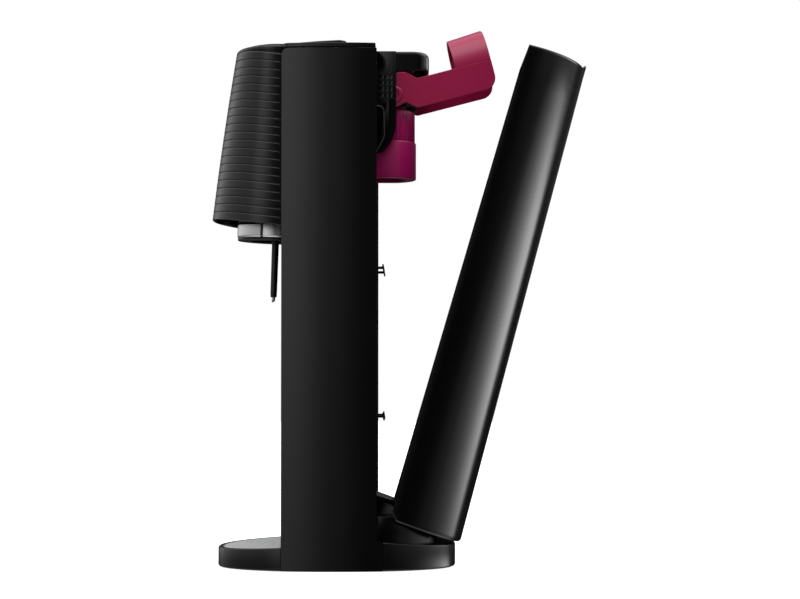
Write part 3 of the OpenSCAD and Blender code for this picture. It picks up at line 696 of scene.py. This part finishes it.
def make_head():
    """The bell: sections from its tilted rim up the grooved wall, over a round shoulder to the middle of
    the back edge, and back down the inner wall, carried round half a rounded-square plan."""
    offsets = np.array([-2.4, -1.2, -0.9, -0.65, -0.45, -0.28, -0.12, 0.0, 0.12, 0.24, 0.36, 0.6, 2.4])
    grooves = (FIRST_GROOVE + GROOVE_PITCH * np.arange(GROOVES))[:, None] + offsets
    wall_w = np.unique(np.concatenate([[RIM_Z + 0.5, RIM_Z + 1.5], grooves.ravel()]))
    angles = np.linspace(0.001, math.pi - 0.001, 121)
    shoulder = np.linspace(0, np.pi / 2, 8)
    wall, radius = 2.4, 1.8
    loops = []
    for a in angles:
        rows = head_point(a, wall_w, groove_depth(wall_w))
        rows = rows[rows[:, 2] < HEAD_TOP - radius]
        top_y = head_reach(HEAD_TOP) * np.sin(a) ** (2 / HEAD_N)
        base = head_point(a, HEAD_TOP - radius - top_y * RIM_TILT, 0.0)
        centre = np.array([0.0, HEAD_BACK])
        flat = base[:2] - centre
        unit = flat / np.linalg.norm(flat)
        crest = [[*(base[:2] - unit * radius * (1 - math.cos(t))), HEAD_TOP - radius + radius * math.sin(t)]
                 for t in shoulder]
        reach = np.linalg.norm(flat) - radius
        dome = [[*(centre + unit * reach * s), HEAD_TOP + (HEAD_CROWN - HEAD_TOP) * (1 - s ** 2.4)]
                for s in (0.94, 0.85, 0.7, 0.5, 0.25, 0.0)]
        rim = head_point(a, np.array([RIM_Z, RIM_Z]), np.array([wall - 0.5, 0.5]))
        inner_w = np.array([RIM_Z + 0.5, 300.0, 340.0, 380.0, HEAD_TOP - 3.0 - top_y * RIM_TILT])
        inner = head_point(a, inner_w, wall)
        roof = [[*centre, HEAD_TOP - 2.4]]
        loops.append((rim, rows, crest, dome, roof, inner))
    size = min(len(rows) for _, rows, *_ in loops)
    rings = [np.concatenate([rim[1:], rows[:size], crest, dome, roof, inner[::-1], rim[:1]])
             for rim, rows, crest, dome, roof, inner in loops]
    make_piece("head_bell", [loops_part(np.array(rings))], "root", RIBBED, ["head_shell"])


# ---------------------------------------------------------------- button


def make_button():
    """The button: its arched side outline carried across, and drawn down a little near its two sides."""
    half, droop = 20, 1.1
    top = rounded([(-42, 410.5, 0), (-42, 419.4, 0.8), (-30, 421.3, 40), (-14, 422.6, 60), (2.5, 423.4, 9),
                   (8.0, 422.4, 3.0), (9.5, 410.5, 0)], 6)
    rows = np.linspace(-1, 1, 15)
    loops = []
    for x in half * np.sign(rows) * (1 - (1 - np.abs(rows)) ** 1.7):
        line = top.copy()
        line[1:-1, 1] -= droop * (abs(x) / half) ** 5
        loops.append(np.column_stack([np.full(len(line), x), line]))
    make_piece("press_button", [loops_part(np.array(loops))], "button", PANEL,
               ["carbonating_button"], bevel=0.7)


# ---------------------------------------------------------------- nozzle

# The nozzle's pivot as (Y, Z), and the degrees about X that it leans at rest
PIVOT, LEAN = (-30.0, 312.0), -1.9


def leaned(part):
    """Turns a part drawn upright to the nozzle's lean."""
    return turned_about_x(np.asarray(part[0]), PIVOT, LEAN), part[1]


def make_collar(axis):
    """The bright ring: a turned band, sunk over a few degrees, with a dark strip laid across the sunk part.
    """
    bore, face, sink = 28.9, 29.5, 1.2
    ring = rounded([(bore, 262.1, 0), (30.2, 262.1, 0.3), (31.0, 263.4, 1.0), (31.0, 272.6, 1.4),
                    (29.9, 274.3, 0.9), (bore, 274.3, 0)], 5)
    seam = np.radians([-20.3, -20.1, -16.1, -15.9])
    turns = np.concatenate([np.linspace(seam[-1], 2 * np.pi + seam[0], 150), seam[1:-1]])[:, None]
    sunk = np.where((turns > seam[0]) & (turns < seam[-1]) & (ring[:, 0] > face), sink, 0.0)
    radius = np.maximum(ring[:, 0] - sunk, bore)
    loops = np.stack([radius * np.cos(turns), axis[1] + radius * np.sin(turns),
                      np.broadcast_to(ring[:, 1], radius.shape)], -1)
    # A dark strip laid across the ring's sunk part.
    across = np.radians(np.linspace(-20.0, -16.2, 4))
    dark_strip = np.stack([np.stack([r * np.cos(across), axis[1] + r * np.sin(across), np.full(4, z)], -1)
                      for r, z in ((29.2, 263.2), (30.75, 263.6), (30.75, 273.2), (29.2, 273.8))], 1)
    make_piece("collar_dark_strip", [leaned(loops_part(dark_strip))], "nozzle", INNER)
    make_piece("nozzle_ring", [leaned(loops_part(loops, wrap=True))], "nozzle", CHROME,
               ["nozzle_collar"])


def make_nozzle():
    """Turned parts of the nozzle, leaned together about their pivot."""
    axis = (0.0, BOTTLE_Y)
    cup = rounded([(20, 259.8, 0.6), (30.4, 259.8, 0.9), (30.6, 261.9, 0.2), (28.8, 262.0, 0),
                   (28.8, 274.5, 0), (30.4, 274.6, 0.6), (30.4, 282.2, 1.2), (14, 282.6, 1.5), (14, 311, 0.6),
                   (3.0, 311, 0), (3.0, 278.6, 0), (24.4, 278.6, 0.8), (24.4, 262.3, 0), (20, 262.3, 0.4)], 4)
    knuckle = side_part(rounded([(-54.5, 305, 1), (-36, 305, 6), (-26, 309, 5), (-26, 317.6, 4),
                                 (-40, 317.8, 2), (-54.5, 314, 2)]), -15.8, 15.8)
    make_piece("nozzle_cup", [leaned(turned_part(cup, axis, 96)), leaned(knuckle)], "nozzle",
               INNER, ["nozzle_body"])
    make_collar(axis)
    gasket = rounded([(3.6, 273.2, 0.3), (11, 273.2, 0.8), (15, 274.0, 0.8), (15, 276.5, 0.5),
                      (3.6, 276.5, 0.3)], 4)
    make_piece("neck_gasket", [leaned(turned_part(gasket, axis))], "nozzle", RUBBER,
               ["bottle_seal"])
    tube = rounded([(1.45, 215.2, 0.15), (2.5, 215.2, 0.5), (2.7, 219, 2), (2.9, 262.6, 1), (3.4, 263.3, 0.4),
                    (3.4, 271.6, 0.4), (2.9, 272.2, 0.4), (2.9, 290, 0.3), (0.7, 290, 0), (0.7, 219.2, 0),
                    (1.45, 219.2, 0)], 4)
    make_piece("water_tube", [leaned(turned_part(tube, axis, 48))], "nozzle", INNER,
               ["carbonating_tube"])
    tip, faces = turned_part(rounded([(0.5, 210.7, 0.1), (1.15, 210.7, 0.25), (1.4, 212.2, 0.6),
                                      (1.4, 218.8, 0.1), (0.5, 218.8, 0.1)], 4), axis, 32)
    points = tip.copy()
    low = points[:, 2] < 212.4
    points[low, 2] += (points[low, 1] - axis[1] + 1.2) * 0.55
    make_piece("tube_nib", [leaned((points, faces))], "nozzle", STEEL, ["tube_tip"])


# ---------------------------------------------------------------- valve housing, bracket and lever

# The lever's pivot as (Y, Z), and the degrees that its arm stands above level at rest
LEVER_PIVOT, LEVER_REST = (46.8, 377.5), 14.5


def at_lever(part):
    """Turns a part drawn round the lever's pivot (its arm along Y) up to its raised place."""
    points = np.asarray(part[0], float) + [0, *LEVER_PIVOT]
    return turned_about_x(points, LEVER_PIVOT, LEVER_REST), part[1]


def make_housing():
    """The valve's housing: a box with round rear corners, its roof rolled down towards the back. Outer and
    inner walls are levels of one plan, joined by the rim below and closed by two flat roofs."""
    half, front, rear, corner, low, high, roll = 28.0, 31.9, 74.1, 9.0, 396.7, 411.9, 5.0
    turn = np.linspace(0, math.pi / 2, 10)

    def level(z, inset, back=0.0):
        """The plan at a height, drawn in all round by an inset, and from the rear by back."""
        centre = np.array([half - corner, rear - back - corner])
        arc = centre + (corner - inset) * np.stack([np.cos(turn), np.sin(turn)], 1)
        right = np.concatenate([[[half - inset, front]], arc])
        line = np.concatenate([right, (right * [-1, 1])[::-1]])
        return np.column_stack([line, np.full(len(line), z)])

    walls = [level(low, 0.6), level(low + 0.6, 0.0), level(high - roll, 0.0)]
    walls += [level(high - roll + roll * math.sin(a), 1.1 * (1 - math.cos(a)), roll * (1 - math.cos(a)))
              for a in np.linspace(0, math.pi / 2, 7)[1:]]
    inner = [level(low, 2.2), level(low + 1.2, 2.4), level(high - 2.5, 3.4)]
    outer_points, outer_faces = loops_part(np.array(walls), caps=False)
    inner_points, inner_faces = loops_part(np.array(inner), caps=False)
    outer_roof = list(range(len(outer_points) - len(walls[0]), len(outer_points)))
    inner_roof = list(range(len(inner_points) - len(walls[0]), len(inner_points)))
    rim = loops_part(np.stack([inner[0], walls[0]]), caps=False)
    parts = [(outer_points, outer_faces + [outer_roof]), (inner_points, inner_faces + [inner_roof]), rim]
    seam = side_part(rounded([(46.9, 397.4, 0.2), (47.5, 397.4, 0.2), (47.5, 409.4, 0.2),
                              (46.9, 409.4, 0.2)], 2), 27.6, 28.25)
    make_piece("valve_hood", parts, "root", GLOSSY, ["valve_housing"])
    make_piece("hood_seam", mirrored([seam]), "root", INNER)


def bead_part(path, radius, x, sides=8):
    """A round bead of a radius that follows a path of (Y, Z) on a plane at x; each section is a polygon."""
    path = np.asarray(path, float)
    along = np.gradient(path, axis=0)
    along /= np.linalg.norm(along, axis=1)[:, None]
    across = np.stack([-along[:, 1], along[:, 0]], 1)
    turn = np.linspace(0, 2 * np.pi, sides, endpoint=False)
    plane = path[:, None] + across[:, None] * (radius * np.cos(turn))[:, None]
    height = np.broadcast_to(x + radius * np.sin(turn), plane.shape[:2])
    return loops_part(np.dstack([height, plane]))


def make_cheeks():
    """Raised details of the cheeks: a bowed bead, louvres and fins over the cooling slots, and a dark plate
    behind them. The bead and fins are a lighter grey, a painted highlight for the light they catch."""
    bow = rounded([(31.9, 368.0, 0), (37.7, 367.4, 4.5), (38.4, 343.0, 14), (31.9, 330.8, 0)], 9)
    midpoints = (bow[:-1] + bow[1:]) / 2
    bow = np.insert(bow, range(1, len(bow)), midpoints, axis=0)
    front, rear, thick = 32.4, 46.2, 1.3
    louvres = [side_part(rounded([(front, z, 0.2), (rear, z, 0.2), (rear, z + thick, 0.4),
                                  (front, z + thick, 0.4)], 3), 31.2, 32.1)
               for z in (373.2, 378.1, 383.0, 387.9, 392.4)]
    wide, lean, rise = 1.1, 0.6, 3.3
    fins = [side_part(rounded([(y, z, 0.2), (y + wide, z, 0.2), (y + wide + lean, z + rise, 0.2),
                               (y + lean, z + rise, 0.2)], 2), 31.0, 31.85)
            for z in (374.6, 379.5, 384.4, 389.3) for y in (36.4, 39.9, 43.4)]
    back = side_part(np.array([[32.6, 373], [42.4, 373], [42.4, 392.6], [32.6, 392.6]]), 28.5, 29.2)
    make_piece("cheek_bead", mirrored([bead_part(bow, 0.55, 31.45)]), "root", HIGHLIGHT_GREY)
    make_piece("cheek_details", mirrored([back] + louvres), "root", GLOSSY)
    make_piece("cheek_fins", mirrored(fins), "root", HIGHLIGHT_GREY)


# The outer and inner faces of the lever's plates, and the top of its arm above the pivot
ARM_OUTER, ARM_INNER, ARM_TOP = 29.0, 26.2, 8


def arm_outline():
    """Side outline of the lever's plate, round its pivot, arm along Y."""
    low, high, end = -15, ARM_TOP, 81.4
    return rounded([(-7.6, -7.2, 2.5), (-1, -10.4, 4), (7.2, -8.2, 3), (14.7, low, 3.5), (end, low, 10),
                    (end, high, 0.6), (20.5, high, 4), (12.6, 15.2, 4), (5, 16.5, 6), (-3, 14.6, 5),
                    (-8, 6, 4)], 6)


def make_lever():
    """The lever: two side plates joined by an arch that springs tangent from them near the end."""
    plate = side_part(arm_outline(), ARM_INNER, ARM_OUTER)
    t = np.linspace(0, math.pi, 57)
    thick, fullness = 2.7, 0.92
    loops = []
    for y, rise in ((52.0, 26.1), (79.6, 27.9), (80.7, 27.7), (81.3, 27.1)):
        outer = np.stack([ARM_OUTER * np.cos(t), ARM_TOP + rise * np.sin(t) ** fullness], 1)
        inner = np.stack([ARM_INNER * np.cos(t), ARM_TOP + (rise - thick) * np.sin(t) ** fullness], 1)
        section = np.concatenate([outer, inner[::-1]])
        loops.append(np.column_stack([section[:, 0], np.full(len(section), y), section[:, 1]]))
    arch = loops_part(np.array(loops))
    points, faces = turned_part(rounded([(3.4, 0.0, 0), (5.9, 0.0, 0), (6.3, 0.9, 0.35), (5.4, 1.5, 0.4),
                                         (3.8, 1.5, 0.4), (3.4, 1.1, 0.2)], 3), (0, 0), 40)
    boss = (np.column_stack([ARM_OUTER - 0.3 + points[:, 2], points[:, 0], points[:, 1]]), faces)
    step = side_part(rounded([(15.6, -14.7, 0.4), (26.5, -14.7, 1.2), (26.5, -12.0, 1.2), (24.0, -12.0, 0.6),
                              (24.0, -13.4, 0.6), (15.6, -13.4, 0.4)], 3), 28.6, 29.45)
    make_piece("lever_arm", mirrored([at_lever(plate)]) + [at_lever(arch)], "lever",
               SHADED_LEVER_MAGENTA, ["cylinder_lever"], bevel=0.55)
    make_piece("lever_details", mirrored([at_lever(boss), at_lever(step)]), "lever", SHADED_LEVER_MAGENTA)


# ---------------------------------------------------------------- cylinder holder

# The cylinder's axis, the radius of the socket round its neck, and the pitch of the holder's upright ridges
BAY_Y, SOCKET_R, RIDGE_PITCH = 34.0, 12.4, 2.4


def holder_ring(radius, half, z, ridge=0.0):
    """Plan of the cylinder's holder at a height: a circle cut off flat at each side, with fine ridges."""
    edge, corner = math.acos(half / radius), 0.4

    def ridged(reach, along):
        """A reach that dips by the ridges' depth, once each pitch along the face."""
        return reach + ridge * (np.cos(along * 2 * math.pi / RIDGE_PITCH) - 1) / 2

    arcs = []
    for start in (0, math.pi):
        turn = np.linspace(start + edge, start + math.pi - edge, 64)
        reach = ridged(radius, radius * turn)
        arcs.append(np.stack([reach * np.cos(turn), BAY_Y + reach * np.sin(turn)], 1))
    y_edge = radius * math.sin(edge) - corner
    side = np.linspace(-y_edge, y_edge, 24)
    right = np.stack([ridged(half, side), BAY_Y + side], 1)
    points = np.concatenate([right, arcs[0], (right * [-1, 1])[::-1], arcs[1]])
    return np.column_stack([points, np.full(len(points), z)])


def socket_rings(outer, levels):
    """Round rings (radius, Z) inside an outer ring, with a point for each of its points."""
    angle = np.arctan2(outer[:, 1] - BAY_Y, outer[:, 0])
    return [np.column_stack([r * np.cos(angle), BAY_Y + r * np.sin(angle), np.full(len(angle), z)])
            for r, z in levels]


def make_carriage():
    """The sliding holder: a smooth lower cup with a rolled lip, and a ridged upper part, round the socket."""
    ridge = 0.6
    cup = [(28.9, 24.7, 310.8), (29.6, 25.3, 311.2), (29.8, 25.5, 312.2), (29.8, 25.5, 339.8),
           (29.2, 24.9, 340.9)]
    upper = [(28.6, 23.6, 341.0), (28.9, 23.9, 342.0), (28.9, 23.9, 365.8), (28.4, 23.4, 366.6)]
    outer = [holder_ring(*level) for level in cup] + [holder_ring(*level, ridge) for level in upper]
    inner = socket_rings(outer[0], [(SOCKET_R, 366.6), (SOCKET_R, 356.0), (20.0, 356.0), (20.0, 312.5),
                                    (20.8, 310.8)])
    make_piece("cylinder_holder", [loops_part(np.array(outer + inner), wrap=True)], "carriage",
               MAGENTA, ["cylinder_carriage"])


CAP_LOW_Z, CAP_FACE_Z = 366.8, 369.4


def cap_top(y):
    """Height of the cap's upper face: level, with a low ridge across it towards the rear."""
    ridge_y, ridge_half, ridge_high = 57.0, 8.0, 3.5
    return CAP_FACE_Z + ridge_high * np.clip(1 - np.abs(y - ridge_y) / ridge_half, 0, 1) ** 1.1


def make_carriage_cap():
    """The black cap: level by level out to its rim, over the ridged top and down its round hole."""
    rims = [(30.3, 21.1, CAP_LOW_Z), (30.6, 21.4, 367.2), (30.6, 21.4, 369.0)]
    outer = [holder_ring(*rim) for rim in rims]
    for r, half in ((30.2, 21.0), (28.0, 19.0), (25.0, 17.6), (22.0, 16.4), (18.0, 15.0)):
        ring = holder_ring(r, half, CAP_FACE_Z)
        ring[:, 2] = cap_top(ring[:, 1])
        outer.append(ring)
    inner = socket_rings(outer[0], [(SOCKET_R, CAP_FACE_Z), (SOCKET_R, CAP_LOW_Z)])
    make_piece("holder_cap", [loops_part(np.array(outer + inner), wrap=True)], "carriage",
               INNER, ["carriage_cap"])


# ---------------------------------------------------------------- rear cover

# The cover's heel as (Y, Z), closed and as it stands open, and the degrees about X that it leans back
HEEL_CLOSED, HEEL_OPEN, COVER_LEAN = (94.0, 18.9), (99.5, 19.0), -16.4
# Its half width, its depth at the roof and at the foot, its height, and the slope of its roof
COVER_W, COVER_TOP_D, COVER_FOOT_D, COVER_N = 72.0, 50.4, 60.4, 2.15
COVER_HEIGHT, ROOF_RISE = 391.0, 0.0437
COVER_FRONT = HEEL_CLOSED[0] - COVER_FOOT_D
COVER_TOP_Z = HEEL_CLOSED[1] + COVER_HEIGHT


def opened(points):
    """Carries points of the closed cover back to its opened lean on its heel."""
    moved = np.asarray(points, float) + [0, HEEL_OPEN[0] - HEEL_CLOSED[0], HEEL_OPEN[1] - HEEL_CLOSED[1]]
    return turned_about_x(moved, HEEL_OPEN, COVER_LEAN)


def foot_z(y):
    """Height of the cover's foot edge, which follows the rear deck's slope, its front corner cut back."""
    cut = 5.0
    chamfer = np.clip(COVER_FRONT + cut - y, 0, cut) * 0.9
    return HEEL_CLOSED[1] + (HEEL_CLOSED[0] - y) * BACK_SLOPE + chamfer


def cover_loop(inset, z, roll, angles):
    """One level of the cover: half a rounded square, drawn in by an inset and by a roll that is fuller at the
    rear. Above tilt_from the levels tilt more and more, up to the roof's slope."""
    tilt_from = 300.0
    share = np.clip((z - HEEL_CLOSED[1]) / COVER_HEIGHT, 0, 1)
    depth = COVER_FOOT_D + (COVER_TOP_D - COVER_FOOT_D) * share
    pull = inset + roll * (0.45 + 0.55 * np.sin(angles) ** 2)
    x, y = superellipse(1.0, 1.0, COVER_N, angles).T
    x, y = x * (COVER_W - pull), y * (depth - pull)
    tilt = ROOF_RISE * np.clip((z - tilt_from) / (COVER_TOP_Z - tilt_from), 0, 1)
    return np.column_stack([x, COVER_FRONT + y, z + y * tilt])


def pull_tab():
    """The pull tab: a thin rounded section that stands on the roof's rear edge and follows its curve."""
    half, deep, high = 18, 7.0, 5.6
    x = np.linspace(-half, half, 25)
    y = COVER_FRONT + (COVER_TOP_D + 0.1) * (1 - (np.abs(x) / COVER_W) ** COVER_N) ** (1 / COVER_N)
    foot = np.full(len(x), COVER_TOP_Z - deep)
    crest = COVER_TOP_Z + high * (1 - 0.5 * (np.abs(x) / half) ** 6)
    section = [(-2.3, foot, 0), (-0.4, foot, 0), (0, foot, 2), (0, crest, -0.8), (-0.35, crest, -0.2),
               (-1.0, crest, 0), (-1.8, crest, -0.4), (-2.1, crest, -1.2)]
    rows = np.stack([np.column_stack([x, y + behind, edge + up]) for behind, edge, up in section], 1)
    return loops_part(opened(rows))


def make_cover():
    """The shell: from the middle of the roof out over a rolled edge, down the outer face to a rounded foot,
    and back up the inner face, carried round half a rounded-square plan, with a pull tab and two lugs."""
    near_edge = np.array([0.0, 1.0, 2.0, 3.6]) / COVER_FOOT_D
    edge = np.arcsin(near_edge ** (COVER_N / 2))
    between = np.linspace(edge[-1] + 0.02, math.pi - edge[-1] - 0.02, 121)
    angles = np.concatenate([edge, between, math.pi - edge[::-1]])
    r, wall, roof_wall, foot_level = 2.6, 2.2, 2.6, 22.0
    middle = np.array([0.0, COVER_FRONT, COVER_TOP_Z])
    flat = cover_loop(0, COVER_TOP_Z, r, angles)
    rows = [middle + (flat - middle) * share for share in (0.0, 0.35, 0.7, 0.9)]
    rows += [cover_loop(0, COVER_TOP_Z - r + r * math.sin(a), r * (1 - math.cos(a)), angles)
             for a in np.linspace(math.pi / 2, 0, 7)]
    rows += [cover_loop(0, z, 0, angles) for z in (380.0, 340.0, 300.0, 200.0, 120.0, 60.0)]
    low = foot_z(cover_loop(0, foot_level, 0, angles)[:, 1])
    for rise, inset in ((4.0, 0.0), (2.0, 0.0), (1.4, 0.12), (0.8, 0.45), (0.3, 0.9), (0.0, 1.5), (0.4, wall),
                        (3, wall)):
        row = cover_loop(inset, foot_level, 0, angles)
        row[:, 2] = low + rise
        rows.append(row)
    rows += [cover_loop(wall, z, 0, angles) for z in (60.0, 120.0, 200.0, 300.0, 380.0, COVER_TOP_Z - 4.6)]
    ceiling = cover_loop(4.2, COVER_TOP_Z - roof_wall, 0, angles)
    middle = middle - [0, 0, roof_wall]
    rows += [middle + (ceiling - middle) * share for share in (1.0, 0.6, 0.0)]
    shell = loops_part(opened(np.array(rows).transpose(1, 0, 2)))
    lug = rounded([(85.6, 27.0, 0), (85.9, 24.2, 3), (94, 24.2, 0), (98.0, 24.2, 0), (98.6, 31.4, 0),
                   (88, 31.4, 3)])
    lugs = [side_part(lug, x0, x0 + 3.8) for x0 in (16.1, -19.9)]
    make_piece("cover_shell", [shell, pull_tab()] + lugs, "cover", GLOSSY, ["rear_cover"])


# ---------------------------------------------------------------- everything placed

make_base()
make_tray()
make_side_panels()
make_front_panel()
make_step_walls()
make_top_cap()
make_head()
make_button()
make_nozzle()
make_housing()
make_cheeks()
make_lever()
make_carriage()
make_carriage_cap()
make_cover()

soften("valve_bracket", GLOSSY, 0.3)
soften("cylinder_cradle", GLOSSY, 0.5, 3)
soften("cover_catches", INNER)
soften("head_underside", INNER)
soften("column_frame", INNER)
soften("base_plate", INNER, 0.3)

# The button's spring, given a mesh of its own
spring = soften("button_spring", STEEL, 0)
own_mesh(spring)

# CAD nodes that stay as they are, each with its material
CARRIED = {"rubber_feet": RUBBER, "base_screws": STEEL, "nozzle_bracket": INNER, "nozzle_pins": STEEL,
           "jaw_left": INNER, "jaw_right": INNER, "bracket_screws": STEEL,
           "valve_body": BRASS, "valve_seal": RUBBER, "relief_valve": BRASS, "valve_plunger": STEEL,
           "gas_hose": RUBBER, "rocker_lever": INNER, "rocker_pin": STEEL, "lever_pins": SHADED_LEVER_MAGENTA,
           "cover_shoe": INNER, "cover_pin": INNER}
for node, material in CARRIED.items():
    NODES[node].data.materials.clear()
    NODES[node].data.materials.append(material)
